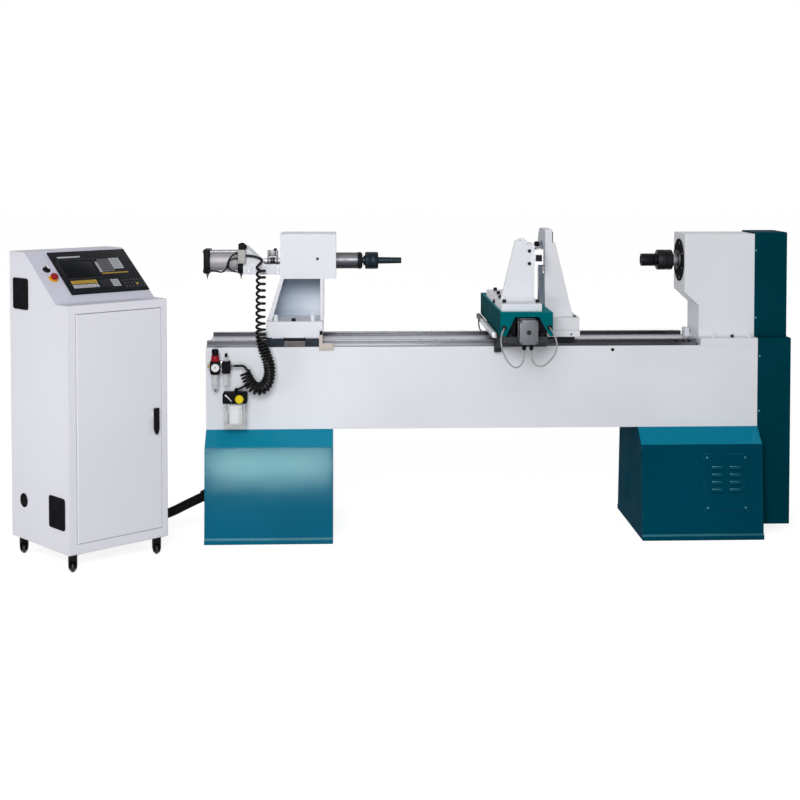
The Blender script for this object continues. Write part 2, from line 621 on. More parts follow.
blued = machined("blued_steel", (0.016, 0.023, 0.029), 0.36, (120, 30, 30), marks=0.03, drift=0.25)
live = bmesh.new()
live_corners = [(0, 0), (0, 15), (97, 15), (97, 24), (105, 24), (105, 37), (109, 41.5), (131, 41.5)]
live_corners += [(132.5, 40.4), (134, 41.5), (163, 41.5), (169, 37), (169, 16.5)]
live_corners += [(279, 14.4), (281, 12.6), (281, 0)]
turned(live, (645, 0, SPINDLE_Z), RIGHT, live_corners, 48)
piece("live_centre_body", live, LATHE, blued, "live_centre_unit", ["live_centre"])

# The air cylinder that pushes the quill: an aluminium barrel between two black cast caps,
# held together by four tie rods, on a white bracket bolted to the tailstock's left side.
cap_paint = moulded("cast_cap_paint", (0.007, 0.0075, 0.0095), 0.4, pebble=0.3, gloss=0.06)
satin_tube = machined(
    "satin_tube", (0.365, 0.352, 0.374), 0.5, (3, 40, 40), marks=0.02, drift=0.05, metal=0.35
)
dress(white_enamel, "cylinder_bracket")
CAP_LEFT = -22
BARREL_LEFT = 9
BARREL_RIGHT = 141
heads = bmesh.new()
for left, right in ((CAP_LEFT, BARREL_LEFT), (BARREL_RIGHT, 168)):
    box(heads, (left, -58, 1238), (right, 58, 1354), 5.0, 3)
piece("cylinder_caps", heads, LATHE, cap_paint, "tailstock", ["air_cylinder"])
barrel = bmesh.new()
barrel_corners = [(0, 0), (0, 51.5), (3, 51.5), (3.5, 50), (128.5, 50), (129, 51.5), (132, 51.5), (132, 0)]
turned(barrel, (BARREL_LEFT, 0, SPINDLE_Z), RIGHT, barrel_corners, 56)
piece("cylinder_barrel", barrel, LATHE, satin_tube, "tailstock", ["air_cylinder"])
ties = bmesh.new()
tie_nuts = bmesh.new()
tie_nut_corners = [(0, 0), (0, 9), (1.2, 9), (2, 8), (2, 5), (2.8, 4.6), (2.8, 0)]
for offset, height in product((-46, 46), (1250, 1342)):
    bar(ties, (BARREL_LEFT, offset, height), (BARREL_RIGHT, offset, height), 4.6, 0.4, 14)
    turned(tie_nuts, (CAP_LEFT, offset, height), LEFT, tie_nut_corners, 6)
piece("cylinder_tie_rods", ties, LATHE, turned_steel, "tailstock", ["air_cylinder"])
piece("cylinder_tie_nuts", tie_nuts, LATHE, black_oxide, "tailstock", ["air_cylinder"])
rod = bmesh.new()
bar(rod, (108, 0, SPINDLE_Z), (134, 0, SPINDLE_Z), 40.9, 1.0, 40)
bar(rod, (134, 0, SPINDLE_Z), (QUILL_BACK, 0, SPINDLE_Z), 12.5, 0.5, 28)
chrome = machined("hard_chrome", (0.68, 0.69, 0.72), 0.3, (60, 12, 12), marks=0.02, drift=0.06, metal=0.2)
piece("piston_rod_bar", rod, LATHE, chrome, "quill_unit", ["piston_rod"])
coupling_steel = machined("coupling_steel", (0.12, 0.122, 0.13), 0.34, (60, 60, 12))
coupling = bmesh.new()
for left, right, low, high in (
    (281, 289, 1266, 1346), (323, 331, 1266, 1346), (289, 323, 1318, 1346), (289, 323, 1266, 1282),
):
    box(coupling, (left, -25, low), (right, 25, high), 1.2)
turned(coupling, (294, 0, SPINDLE_Z), RIGHT, [(0, 12.6), (0, 19), (24, 19), (24, 12.6)], 6, closed=True)
piece("rod_coupling", coupling, LATHE, coupling_steel, "quill_unit", ["piston_rod"])
coupling_seats = product([318], (-13, 13), [1346])
screw_set("coupling_screws", black_oxide, "quill_unit", "dark_steel", (coupling_seats, UP, 7, 9))
zinc = machined("zinc_plating", (0.42, 0.43, 0.45), 0.34, (90, 90, 90), drift=0.12)
BRACKET_HOLES = ((334, 1246), (334, 1271), (196, 1250), (181, 1352))
screw_set(
    "bracket_screws", zinc, "tailstock", "bright_steel",
    ([(station, -70, height) for station, height in BRACKET_HOLES], FRONT, 4.5, 4),
    ([(station, 70, height) for station, height in BRACKET_HOLES], BACK, 4.5, 4),
)

# The air valve: a grey die-cast block with a black coil on top, screwed to the cylinder's right cap.
# Black push-in elbows feed the caps, and sintered silencers hang under them.
valve_grey = enamel("valve_casting", (0.42, 0.41, 0.40), (0.6, 0.6, 0.6), 0.42, edge=0.001, drift=0.12)
valve = bmesh.new()
box(valve, (146, -110, 1290), (182, -72, 1355), 2.5, 3)
box(valve, (150, -112, 1298), (178, -108, 1322), 1.2)
box(valve, (146, -72, 1300), (166, -58, 1345), 1.0)
piece("valve_block", valve, LATHE, valve_grey, "tailstock", ["air_valve"])
coil = bmesh.new()
box(coil, (148, -108, 1355), (182, -74, 1384), 4.0, 3)
turned(coil, (165, -91, 1384), UP, [(0, 0), (0, 9), (2.5, 9), (4, 7), (4, 0)], 6)
box(coil, (176, -103, 1360), (188, -79, 1377), 2.0, 2)
piece("valve_coil", coil, LATHE, black_plastic, "tailstock", ["air_valve"])
PUSH_IN = [(0, 0), (0, 7), (3, 7), (4, 6), (8, 6), (9.4, 5.2), (9.4, 0)]
SLEEVE = [(0, 0), (0, 6), (6.2, 6), (7.2, 5), (7.2, 0)]
HOSE_Y = -88
fittings = bmesh.new()
for height in (1338, 1312):
    turned(fittings, (146, HOSE_Y, height), LEFT, PUSH_IN, 18)
turned(fittings, (182, HOSE_Y, 1326), RIGHT, PUSH_IN, 18)
for station, height, side in ((-4, 1256, RIGHT), (152, 1249, LEFT)):
    bar(fittings, (station, -58, height), (station, -94, height), 7, 1.2, 18)
    turned(fittings, (station, HOSE_Y, height), side, SLEEVE, 18)
piece("valve_fittings", fittings, LATHE, black_plastic, "tailstock", ["air_valve"])
silencers = bmesh.new()
silencer_corners = [(0, 0), (0, 7.6), (7, 7.6), (8, 5.6), (13, 4.6), (16, 2.6), (27, 2.2), (28, 0)]
for station in (-6, 155):
    turned(silencers, (station, -20, 1238), DOWN, silencer_corners, 12)
piece("cap_silencers", silencers, LATHE, dim_steel, "tailstock", ["air_valve"])

# The cylinder's two air hoses: black polyurethane tube, pushed into the elbows and the valve's ports.
# Their points are the drawing's route, in metres; the longer hose crosses in front of the shorter one.
HOSE_RADIUS = 0.004
LONG_HOSE = [
    (0.0035, -0.088, 1.256),
    (0.040, -0.091, 1.254),
    (0.070, -0.096, 1.246),
    (0.092, -0.098, 1.264),
    (0.097, -0.098, 1.292),
    (0.110, -0.095, 1.322),
    (0.1347, -0.088, 1.338),
]
SHORT_HOSE = [
    (0.1448, -0.088, 1.249),
    (0.118, -0.086, 1.250),
    (0.098, -0.084, 1.268),
    (0.098, -0.084, 1.292),
    (0.112, -0.086, 1.311),
    (0.1358, -0.088, 1.312),
]
hose_black = moulded("hose_black", (0.005, 0.0052, 0.006), 0.34, pebble=0.05, gloss=0.12)


def on_lathe(point):
    """A point in metres from the bed's left end, the spindle's plane and the floor, in the part's frame."""
    return Vector(point) + LATHE.translation


def route_line(name, points, radius, smooth=10):
    """A smooth line with these control points; with a radius above nothing it is a round hose."""
    line = bpy.data.curves.new(name, "CURVE")
    line.dimensions = "3D"
    spline = line.splines.new("NURBS")
    spline.points.add(len(points) - 1)
    for knot, point in zip(spline.points, points):
        knot.co = (*point, 1)
    spline.order_u = 3
    spline.use_endpoint_u = True
    spline.resolution_u = smooth
    line.bevel_depth = radius
    line.bevel_resolution = 3
    line.use_fill_caps = radius > 0
    made = bpy.data.objects.new(name, line)
    bpy.context.scene.collection.objects.link(made)
    return made


for name, route, length in (("long_air_hose", LONG_HOSE, 0.183), ("short_air_hose", SHORT_HOSE, 0.12)):
    points = [on_lathe(point) for point in route]
    hose = route_line(name, points, HOSE_RADIUS)
    hose.data.materials.append(hose_black)
    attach(hose, "tailstock")
    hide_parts("cylinder_hoses")

# The saddle: a cast block on four guide blocks, with a cross beam, aprons and a cable tray on its left.
# A servo behind the bed drives its pinion along the rack; the castings are painted black.
saddle_iron = machined("saddle_iron", (0.021, 0.0235, 0.0245), 0.55, (60, 60, 60), drift=0.6, metal=0.5)
dress(saddle_iron, "saddle")
dress(blackened, "carriage_guides")
dress(dim_steel, "pinion")
screw_set(
    "apron_screws", black_oxide, "carriage", "dark_steel",
    (product((1366, 1382), [-216], (888, 932)), FRONT, 6, 7),
    (product((1415, 1480, 1545, 1588), [-232], [924]), FRONT, 7, 7),
)
tray_lid = bmesh.new()
box(tray_lid, (1336.6, -321, 957), (1356, 290, 981), 1.0)
piece("cable_tray_lid", tray_lid, LATHE, way_steel, "carriage")
lamination = machined("lamination_black", (0.02, 0.021, 0.023), 0.5, (500, 500, 500), drift=0.3)
servo_casting = machined(
    "servo_casting", (0.125, 0.13, 0.145), 0.5, (260, 260, 260), marks=0.3, drift=0.4, metal=0.7
)


def notched(wide, tall, notch, depth):
    """A rectangle with a step cut out of each corner, at one depth; wide and tall are half sizes."""
    right = [(wide - notch, -tall), (wide - notch, notch - tall), (wide, notch - tall)]
    right += [(wide, tall - notch), (wide - notch, tall - notch), (wide - notch, tall)]
    left = [(-across, up) for across, up in reversed(right)]
    return [(across, depth, up) for across, up in right + left]


def servo(name, front, back, wide, tall, place, body, node):
    """A servo along y: black flange and laminations, and a notched rear cap with a round plug in it."""
    notch = wide * 0.27
    ends = bmesh.new()
    plate(ends, notched(wide, tall, notch, front), (0, 16, 0), 1.5, 2)
    plate(ends, notched(wide, tall, notch, back - 24), (0, 12, 0), 1.0, 2)
    piece(name + "_caps", ends, place, servo_casting, body, [node])
    stack = bmesh.new()
    box(stack, (-wide - 2, back - 12, -tall - 2), (wide + 2, back, tall + 2), 3.0, 3)
    plate(stack, notched(wide - 2, tall - 2, notch, front + 16), (0, back - 24 - front - 16, 0), 1.0, 2)
    plug = wide * 0.26
    turned(stack, (0, front, 0), FRONT, [(0, 0), (0, plug), (0.8, plug), (0.8, 0)], 24)
    piece(name + "_laminations", stack, place, lamination, body, [node])
    long_screws = bmesh.new()
    inset = wide * 0.16
    for across, up in product((inset - wide, wide - inset), (inset - tall, tall - inset)):
        bar(long_screws, (across, front + 4, up), (across, back - 12, up), wide * 0.09, 0.5, 12)
    piece(name + "_screws", long_screws, place, dim_steel, body, [node])


REAR = Matrix.Rotation(math.pi, 4, "Z")
PINION_PLACE = Matrix.Translation((PINION_STATION, 0, 822))
servo("carriage_servo", -352, -232, 43, 43, LATHE @ PINION_PLACE @ REAR, "carriage", "carriage_motor")

# The cross drive: a servo in front turns a ball screw that moves the slide plate on two cross rails.
# Two plugs hang under the motor for its power and encoder cables.
SCREW_PLACE = Matrix.Translation((1483, 0, 1004))
servo("cross_servo", -515, -426, 42, 56, LATHE @ SCREW_PLACE, "carriage", "cross_motor")
plugs = bmesh.new()
cable_plug_corners = [(0, 0), (0, 9), (5, 9), (6, 8), (14, 8), (15, 9.5), (26, 9.5), (32, 6), (32, 0)]
for station in (1465, 1498):
    turned(plugs, (station, -480, 952), DOWN, cable_plug_corners, 20, (0.8, 5.5, 14.5))
piece("cross_servo_plugs", plugs, LATHE, black_plastic, "carriage", ["cross_motor"])
thread_steel = machined("thread_steel", (0.50, 0.51, 0.53), 0.22, (30, 700, 30), marks=0.3)
dress(thread_steel, "ball_screw")
dress(blackened, "slide_plate")

# The slide: a teal sheet cover over the cross slide, and a thick white plate bolted down on it.
# Black socket screws stand along the plate's edges, and two rubber rings line the cable holes.
slide_teal = enamel(
    "slide_teal_enamel", (0.0, 0.134, 0.157), (0.1, 0.3, 0.32), 0.55, edge=0.0025, drift=0.1,
    gloss=LOW_GLOSS,
    coats_by_face=[("Z", 0.4, 0.7, (0.03, 0.25, 0.28)), ("X", -0.4, -0.7, (0.0, 0.068, 0.082))],
)
dress(slide_teal, "slide_cover")
dress(white_enamel, "top_plate")
PLATE_TOP = 1122
plate_holes = ((1411, 285), (1407, 91), (1394, -120), (1390, -333), (1544, -333), (1536, 285))
screw_set(
    "top_plate_screws", black_oxide, "cross_slide", "dark_steel",
    ([(*hole, PLATE_TOP) for hole in plate_holes], UP, 9.5, 15),
    ([(1372, -73, 1103)], LEFT, 10, 9),
)
rings = bmesh.new()
ring_corners = [(-3, 5.2), (-3, 8.6), (0, 8.6), (0, 12), (3, 11.4), (4.4, 8), (4.4, 5.2)]
for station, height in ((1379, 1016), (1587, 1018)):
    turned(rings, (station, -440, height), FRONT, ring_corners, 24, closed=True)
piece("cable_rings", rings, LATHE, belt_rubber, "cross_slide")

# The tool post: a white gusseted tower on the slide, with a bright block screwed to its upright.
# The block grips a black square tool under a clamp screw with a lobed plastic head.
dress(white_enamel, "tool_tower")
holder_steel = machined("holder_steel", (0.78, 0.78, 0.79), 0.4, (14, 14, 260), drift=0.05, metal=0.6)
tool_black = machined("tool_black", (0.014, 0.0145, 0.016), 0.4, (180, 8, 180), drift=0.3)
dress(holder_steel, "tool_holder")
dress(tool_black, "cutting_tool")
screw_set(
    "tower_screws", black_oxide, "cross_slide", "dark_steel",
    (product([1514], [-265], (1357, 1298)), FRONT, 8, 9),
    (product([1514], [-95], (1357, 1298)), BACK, 8, 9),
    (product((1430, 1480), (-205, -150), [PLATE_TOP]), UP, 8, 10),
)
lug = bmesh.new()
turned(lug, (1486, -232, 1398), BACK, [(0, 0), (0, 15), (2, 17), (42, 17), (44, 15), (44, 0)], 32)
piece("tower_lug", lug, LATHE, aluminium, "cross_slide")
CLAMP_AXIS = (1554, -225)
clamp = bmesh.new()
bar(clamp, (*CLAMP_AXIS, 1341), (*CLAMP_AXIS, 1378), 5.9, 0.8, 20)
turned(clamp, (*CLAMP_AXIS, 1365), UP, [(0, 5), (0, 10), (5, 10), (6, 8.5), (6, 5)], 6, closed=True)
piece("clamp_screw", clamp, LATHE, turned_steel, "tool_clamp", ["clamp_knob"])
grip = bmesh.new()
grip_corners = [(0, 0), (0, 7), (2, 11.5), (5, 13.4), (17, 13.4), (21, 11), (24, 7), (24, 0)]
turned(grip, (*CLAMP_AXIS, 1376), UP, grip_corners, 24, (1.6, 2, 21.5))
piece("clamp_head", grip, LATHE, black_plastic, "tool_clamp", ["clamp_knob"])

# The steady rest: a white ring plate on a foot, braced by two ribs, bolted beside the saddle.
# Grey rubber lines the ring, a small roller finger sits at its mouth, and a strip lies along its edge.
steady_enamel = enamel(
    "steady_enamel", (0.74, 0.752, 0.79), (0.62, 0.63, 0.67), 0.4,
    coats_by_face=[("X", -0.4, -0.7, (0.42, 0.455, 0.52))],
)
dress(steady_enamel, "steady_rest")


def loft(shape, rings, closed=False):
    """Skins a row of outlines with the same number of corners into one solid, or into a closed loop."""
    rows = [[shape.verts.new(corner) for corner in ring] for ring in rings]
    pairs = list(zip(rows, rows[1:]))
    if closed:
        pairs.append((rows[-1], rows[0]))
    else:
        shape.faces.new(rows[0])
        shape.faces.new(rows[-1])
    for row, following in pairs:
        for index in range(len(row)):
            shape.faces.new((row[index - 1], row[index], following[index], following[index - 1]))


lining_rubber = moulded("lining_rubber", (0.31, 0.36, 0.43), 0.6, gloss=0.02)
RING_MIDDLE = 1223
RING_STRAIGHT = 73
LINING_STEPS = 64
LINING_SECTION = ((1606.6, 95.3), (1639.4, 95.3), (1639.4, 93.6), (1606.6, 93.6))
lining = bmesh.new()
lining_rings = []
for step in range(LINING_STEPS):
    turn = math.tau * (step + 0.5) / LINING_STEPS
    across, up = math.cos(turn), math.sin(turn)
    middle = RING_MIDDLE + math.copysign(RING_STRAIGHT, up)
    lining_rings.append([(left, reach * across, middle + reach * up) for left, reach in LINING_SECTION])
loft(lining, lining_rings, closed=True)
piece("steady_lining", lining, LATHE, lining_rubber, "carriage")
finger = bmesh.new()
turned(finger, (1600, -112, 1262), RIGHT, [(0, 7), (0, 16), (10, 16), (10, 7)], 28, closed=True)
bar(finger, (1605, -112, 1262), (1605, -80, 1262), 5, 0.6, 16)
box(finger, (1598, -130, 1240), (1606, -98, 1254), 1.0)
piece("steady_finger", finger, LATHE, turned_steel, "carriage")
strip = bmesh.new()
box(strip, (1640, -134, 1388), (1644, -122, 1440), 1.2)
piece("steady_strip", strip, LATHE, belt_rubber, "carriage")
screw_set(
    "steady_screws", dim_steel, "carriage", "bright_steel",
    (product((1626, 1744), (-165, 165), [1035]), UP, 8, 9),
    (product((1640, 1724), [-190], [956]), FRONT, 5, 4),
)

# The servo's cables: pale grey PVC, out of the slide cover's holes, hanging in a loop to the two plugs.
# The upper ends travel with the cover, so each bends between the slide and the saddle.
CABLE_RADIUS = 0.0035
LEFT_CABLE = [
    (1.379, -0.443, 1.016),
    (1.372, -0.474, 1.011),
    (1.359, -0.496, 0.988),
    (1.357, -0.506, 0.952),
    (1.366, -0.510, 0.914),
    (1.382, -0.510, 0.880),
    (1.403, -0.509, 0.853),
    (1.428, -0.505, 0.842),
    (1.450, -0.497, 0.853),
    (1.462, -0.488, 0.877),
    (1.4655, -0.482, 0.903),
    (1.465, -0.480, 0.9295),
]
RIGHT_CABLE = [
    (1.587, -0.443, 1.018),
    (1.590, -0.474, 1.012),
    (1.604, -0.495, 0.985),
    (1.614, -0.502, 0.945),
    (1.603, -0.506, 0.905),
    (1.578, -0.508, 0.872),
    (1.546, -0.508, 0.848),
    (1.515, -0.502, 0.852),
    (1.499, -0.490, 0.878),
    (1.498, -0.482, 0.904),
    (1.498, -0.480, 0.9295),
]
TRAY_CABLE = [
    (1.347, 0.505, 0.9566),
    (1.347, 0.498, 0.930),
    (1.348, 0.470, 0.908),
    (1.352, 0.425, 0.902),
    (1.360, 0.370, 0.904),
    (1.375, 0.315, 0.910),
    (1.395, 0.275, 0.918),
    (1.412, 0.253, 0.922),
    (1.420, 0.2343, 0.924),
]
cable_grey = moulded("cable_grey", (0.34, 0.35, 0.37), 0.45, pebble=0.08, drift=0.1)


def line_mesh(points, radius, smooth):
    """The mesh of a route's smooth line, or of a round tube along it."""
    line = route_line("line", points, radius, smooth)
    bpy.context.view_layer.update()
    mesh = bpy.data.meshes.new_from_object(line.evaluated_get(bpy.context.evaluated_depsgraph_get()))
    bpy.data.objects.remove(line)
    return mesh


def read_line(points, smooth=10):
    """Points read along the smooth line of a route."""
    mesh = line_mesh(points, 0.0, smooth)
    found = [vert.co.copy() for vert in mesh.vertices]
    bpy.data.meshes.remove(mesh)
    return found


def tube_mesh(name, points, radius, smooth):
    """A round tube of mesh along a route's smooth line."""
    mesh = line_mesh(points, radius, smooth)
    mesh.name = name
    mesh.materials.clear()
    mesh.shade_smooth()
    made = bpy.data.objects.new(name, mesh)
    bpy.context.scene.collection.objects.link(made)
    return made


for name, route, length in (
    ("left_servo_cable", LEFT_CABLE, 0.344),
    ("right_servo_cable", RIGHT_CABLE, 0.342),
):
    points = [on_lathe(point) for point in route]
    cable = tube_mesh(name, points, CABLE_RADIUS, 10)
    cable.data.materials.append(cable_grey)
    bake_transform(cable)
    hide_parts("motor_cables")
    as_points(read_line(points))
tray_points = [on_lathe(point) for point in TRAY_CABLE]
tray_cable = route_line("tray_cable", tray_points, CABLE_RADIUS)
tray_cable.data.materials.append(hose_black)
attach(tray_cable, "carriage")
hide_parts("motor_cables")

# The air unit on the bed's front: a black regulator with a red ring, a gauge and a clear filter bowl,
# joined by steel nipples to a lubricator with its own bowl, all on a bracket. Air comes in by a brass one.
red_plastic = moulded("red_plastic", (0.29, 0.006, 0.011), 0.34, pebble=0.06, gloss=0.14)
brass = machined("brass", (0.36, 0.26, 0.11), 0.34, (150, 150, 150), drift=0.15)


def clear_plastic(name, colour, roughness, body):
    """Thin clear polycarbonate with faint flow marks; body is how much of the light it keeps."""
    finish, shader = new_finish(name)
    flow = grain(finish, 35, detail=3)
    wire(finish, tint(finish, flow, *shades(colour, 0.03)), shader.inputs["Base Color"])
    wire(finish, spread(finish, flow, roughness * 0.6, roughness * 1.6), shader.inputs["Roughness"])
    skin(finish, shader, grain(finish, 60, detail=2), 0.04)
    shader.inputs["Alpha"].default_value = body
    return finish


clear_bowl = clear_plastic("clear_bowl", (0.86, 0.88, 0.92), 0.1, 0.2)
REGULATOR_X = 48
LUBRICATOR_X = 99
UNIT_Y = -235
PORT_Z = 820
body_black = enamel("die_cast_black", (0.010, 0.0105, 0.012), (0.1, 0.1, 0.1), 0.36, 0.001, 0.2, LOW_GLOSS)
unit = bmesh.new()
box(unit, (25, -258, 788), (71, -212, 844), 4.0, 3)
turned(unit, (REGULATOR_X, UNIT_Y, 782), UP, [(0, 0), (0, 22), (7, 22), (7, 0)], 32)
box(unit, (80, -256, 792), (118, -212, 842), 4.0, 3)
turned(unit, (LUBRICATOR_X, UNIT_Y, 786), UP, [(0, 0), (0, 19.5), (7, 19.5), (7, 0)], 32)
drip_corners = [(0, 0), (0, 7), (13, 7), (17, 5), (17, 0)]
turned(unit, (LUBRICATOR_X, UNIT_Y, 862), UP, drip_corners, 16, (0.8, 1, 14))
piece("air_unit_bodies", unit, LATHE, body_black, "frame", ["air_unit"])
collar = bmesh.new()
collar_corners = [(0, 0), (0, 21), (4, 21), (6, 19), (22, 19), (25, 17), (25, 0)]
turned(collar, (REGULATOR_X, UNIT_Y, 844), UP, collar_corners, 36, (0.8, 7, 21))
piece("regulator_ring", collar, LATHE, red_plastic, "frame", ["air_unit"])
bowls = bmesh.new()
for station, radius, top, low in ((REGULATOR_X, 19, 783, 709), (LUBRICATOR_X, 17, 787, 726)):
    wall = [(0, 4), (0, radius - 5), (4, radius - 1), (8, radius), (top - low, radius)]
    wall += [(top - low, radius - 2), (8, radius - 2), (5, radius - 3), (2.4, radius - 7), (2.4, 4)]
    turned(bowls, (station, UNIT_Y, low), UP, wall, 40, closed=True)
dome_corners = [(0, 0), (0, 11), (15, 11), (19, 9), (20, 6), (20, 0)]
turned(bowls, (LUBRICATOR_X, UNIT_Y, 842), UP, dome_corners, 24)
piece("air_unit_bowls", bowls, LATHE, clear_bowl, "frame", ["air_unit"])
element = bmesh.new()
element_corners = [(0, 0), (0, 11), (44, 11), (44, 0)]
turned(element, (REGULATOR_X, UNIT_Y, 736), UP, element_corners, 24, (0.9, 2, 42))
bar(element, (LUBRICATOR_X, UNIT_Y, 734), (LUBRICATOR_X, UNIT_Y, 786), 2.2, 0.3, 10)
baffle = [(0, 0), (0, 12), (3, 12), (3, 4), (20, 4), (20, 0)]
turned(element, (REGULATOR_X, UNIT_Y, 716), UP, baffle, 24)
cloudy_plastic = moulded("cloudy_plastic", (0.62, 0.62, 0.6), 0.5, pebble=0.2, drift=0.08)
piece("filter_element", element, LATHE, cloudy_plastic, "frame", ["air_unit"])
nipples = bmesh.new()
inlet = [(-12, 5.9), (-12, 8), (0, 8), (0, 10), (6, 10), (6, 8.6), (13, 8.6), (13, 5.9)]
turned(nipples, (25, UNIT_Y, PORT_Z), LEFT, inlet, 6, closed=True)
piece("air_unit_inlet", nipples, LATHE, brass, "frame", ["air_unit"])
links = bmesh.new()
bar(links, (70, UNIT_Y, PORT_Z), (81, UNIT_Y, PORT_Z), 9, 0.6, 20)
outlet = [(0, 0), (0, 9), (5, 9), (6, 7), (12, 6), (12, 0)]
turned(links, (118, UNIT_Y, PORT_Z), RIGHT, outlet, 6)
drain = [(0, 0), (0, 6), (4, 6), (5, 4), (12, 3.4), (12, 0)]
turned(links, (REGULATOR_X, UNIT_Y, 712), DOWN, drain, 16)
piece("air_unit_links", links, LATHE, dim_steel, "frame", ["air_unit"])
mount = bmesh.new()
box(mount, (30, -212.5, 796), (112, -207, 840), 1.0)
box(mount, (30, -210, 834), (112, -190, 840), 1.0)
box(mount, (30, -195, 796), (112, -190, 840), 1.0)
piece("air_unit_bracket", mount, LATHE, zinc, "frame", ["air_unit"])

# The gauge on the regulator: a dark steel case round a white dial with printed ticks and a needle.
# It screws into the regulator's front.
GAUGE = LATHE @ Matrix.Translation((51, -258, 817)) @ Matrix.Rotation(math.pi / 2, 4, "X")
case = bmesh.new()
case_corners = [(0, 0), (0, 20), (3, 23), (16, 23), (18, 21.5), (18, 19.6), (14.5, 19.4), (14.5, 0)]
turned(case, (0, 0, 0), OUT_OF_PANEL, case_corners, 44)
piece("gauge_case", case, GAUGE, body_black, "frame", ["air_unit"])
dial_white = moulded("dial_white", (0.8, 0.8, 0.79), 0.35, pebble=0.02, drift=0.02)
dial = bmesh.new()
turned(dial, (0, 0, 14.5), OUT_OF_PANEL, [(0, 0), (0, 19.2), (0.6, 19.2), (0.6, 0)], 44)
piece("gauge_dial", dial, GAUGE, dial_white, "frame", ["air_unit"])
LAST_TICK = 24
ticks = bmesh.new()
for count in range(LAST_TICK + 1):
    angle = math.radians(225 - 270 * count / LAST_TICK)
    long = 4.2 if count % 4 == 0 else 2.4
    spoke = Matrix.Translation((17.6 - long / 2, 0, 15.2)) @ Matrix.Diagonal((long, 0.7, 0.3, 1))
    bmesh.ops.create_cube(ticks, size=1.0, matrix=Matrix.Rotation(angle, 4, "Z") @ spoke)
plate(ticks, [(-5, -0.9, 15.4), (13, -0.25, 15.4), (13, 0.25, 15.4), (-5, 0.9, 15.4)], (0, 0, 0.5))
needle_turn = Matrix.Rotation(math.radians(62), 3, "Z")
bmesh.ops.rotate(ticks, cent=(0, 0, 0), matrix=needle_turn, verts=ticks.verts[-8:])
turned(ticks, (0, 0, 15.1), OUT_OF_PANEL, [(0, 0), (0, 2.4), (1.6, 2), (1.6, 0)], 16)
ink_black = moulded("ink_black", (0.02, 0.02, 0.022), 0.4, pebble=0.02)
piece("gauge_ticks", ticks, GAUGE, ink_black, "frame", ["air_unit"])

# The regulator's knob: black moulded plastic with fluted sides, pulled up to turn.
# It stands on the red ring and turns about the regulator's upright axis.
knob = bmesh.new()
knob_corners = [(0, 0), (0, 15), (2, 16), (22, 16), (25, 14.6), (28.5, 13.4), (29.7, 11.5), (29.7, 0)]
turned(knob, (REGULATOR_X, UNIT_Y, 870.3), UP, knob_corners, 48, (1.1, 1, 24))
piece("regulator_grip", knob, LATHE, black_plastic, "pressure_knob", ["regulator_knob"])

# The coiled air hose: black nylon wound into a spring, from the valve's port down to the lubricator.
# It hangs open under its own weight, then its turns close up round the bend at the bottom.
COIL_RADIUS = 0.0195
CLOSED_RADIUS = 0.0222
COIL_TUBE = 0.0060
COIL_LEAD_IN = [
    (0.1924, -0.088, 1.326),
    (0.222, -0.0885, 1.323),
    (0.242, -0.090, 1.316),
    (0.256, -0.092, 1.310),
    (0.260, -0.098, 1.300),
    (0.253, -0.108, 1.290),
]
COIL_ROUTE = [
    (0.254, -0.100, 1.290),
    (0.256, -0.130, 1.222),
    (0.257, -0.164, 1.154),
    (0.258, -0.200, 1.086),
    (0.259, -0.231, 1.016),
    (0.263, -0.254, 0.944),
    (0.283, -0.264, 0.880),
    (0.303, -0.264, 0.826),
    (0.303, -0.264, 0.772),
    (0.280, -0.264, 0.722),
    (0.236, -0.264, 0.713),
    (0.203, -0.264, 0.754),
    (0.187, -0.264, 0.800),
]
COIL_LEAD_OUT = [
    (0.186, -0.245, 0.820),
    (0.170, -0.240, 0.822),
    (0.152, -0.237, 0.821),
    (0.133, -0.2355, 0.8205),
]
OPEN_PITCH = 0.033
CLOSE_PITCH = 0.0145
OPEN_RUN = 0.30
CLOSING_RUN = 0.08
STEPS_PER_TURN = 14
BEND_HEIGHT = 0.78
BEND_DEPTH = 0.07
BEND_SWELL = 0.005
FIRST_TURN_AT = 0.018
FIRST_TURN_ANGLE = math.radians(140)
LAST_TURN_MARGIN = 0.003
middle_line = read_line([on_lathe(point) for point in COIL_ROUTE], 24)
run_so_far = [0.0]
for before, after in zip(middle_line, middle_line[1:]):
    run_so_far.append(run_so_far[-1] + (after - before).length)
last_turn_at = run_so_far[-1] - LAST_TURN_MARGIN
coil_points = [on_lathe(point) for point in COIL_LEAD_IN]
travel = FIRST_TURN_AT
angle = FIRST_TURN_ANGLE
mark = 0
while travel < last_turn_at or math.sin(angle) > -0.75 or math.cos(angle) > 0:
    while run_so_far[mark + 1] < travel and mark + 2 < len(run_so_far):
        mark += 1
    share = (travel - run_so_far[mark]) / (run_so_far[mark + 1] - run_so_far[mark])
    middle = middle_line[mark].lerp(middle_line[mark + 1], share)
    ahead = (middle_line[mark + 1] - middle_line[mark]).normalized()
    side = ahead.cross(Vector((0, 1, 0))).normalized()
    closing = min(1.0, max(0.0, (travel - OPEN_RUN) / CLOSING_RUN))
    swell = min(1.0, max(0.0, (BEND_HEIGHT - middle.z) / BEND_DEPTH))
    radius = COIL_RADIUS + (CLOSED_RADIUS - COIL_RADIUS) * closing + BEND_SWELL * swell
    coil_points.append(middle + radius * (math.cos(angle) * side + math.sin(angle) * ahead.cross(side)))
    angle += math.tau / STEPS_PER_TURN
    travel += (OPEN_PITCH + (CLOSE_PITCH - OPEN_PITCH) * closing) / STEPS_PER_TURN
coil_points += [on_lathe(point) for point in COIL_LEAD_OUT]
coil_hose = tube_mesh("coil_air_hose", coil_points, COIL_TUBE, 2)
coil_hose.data.materials.append(hose_black)
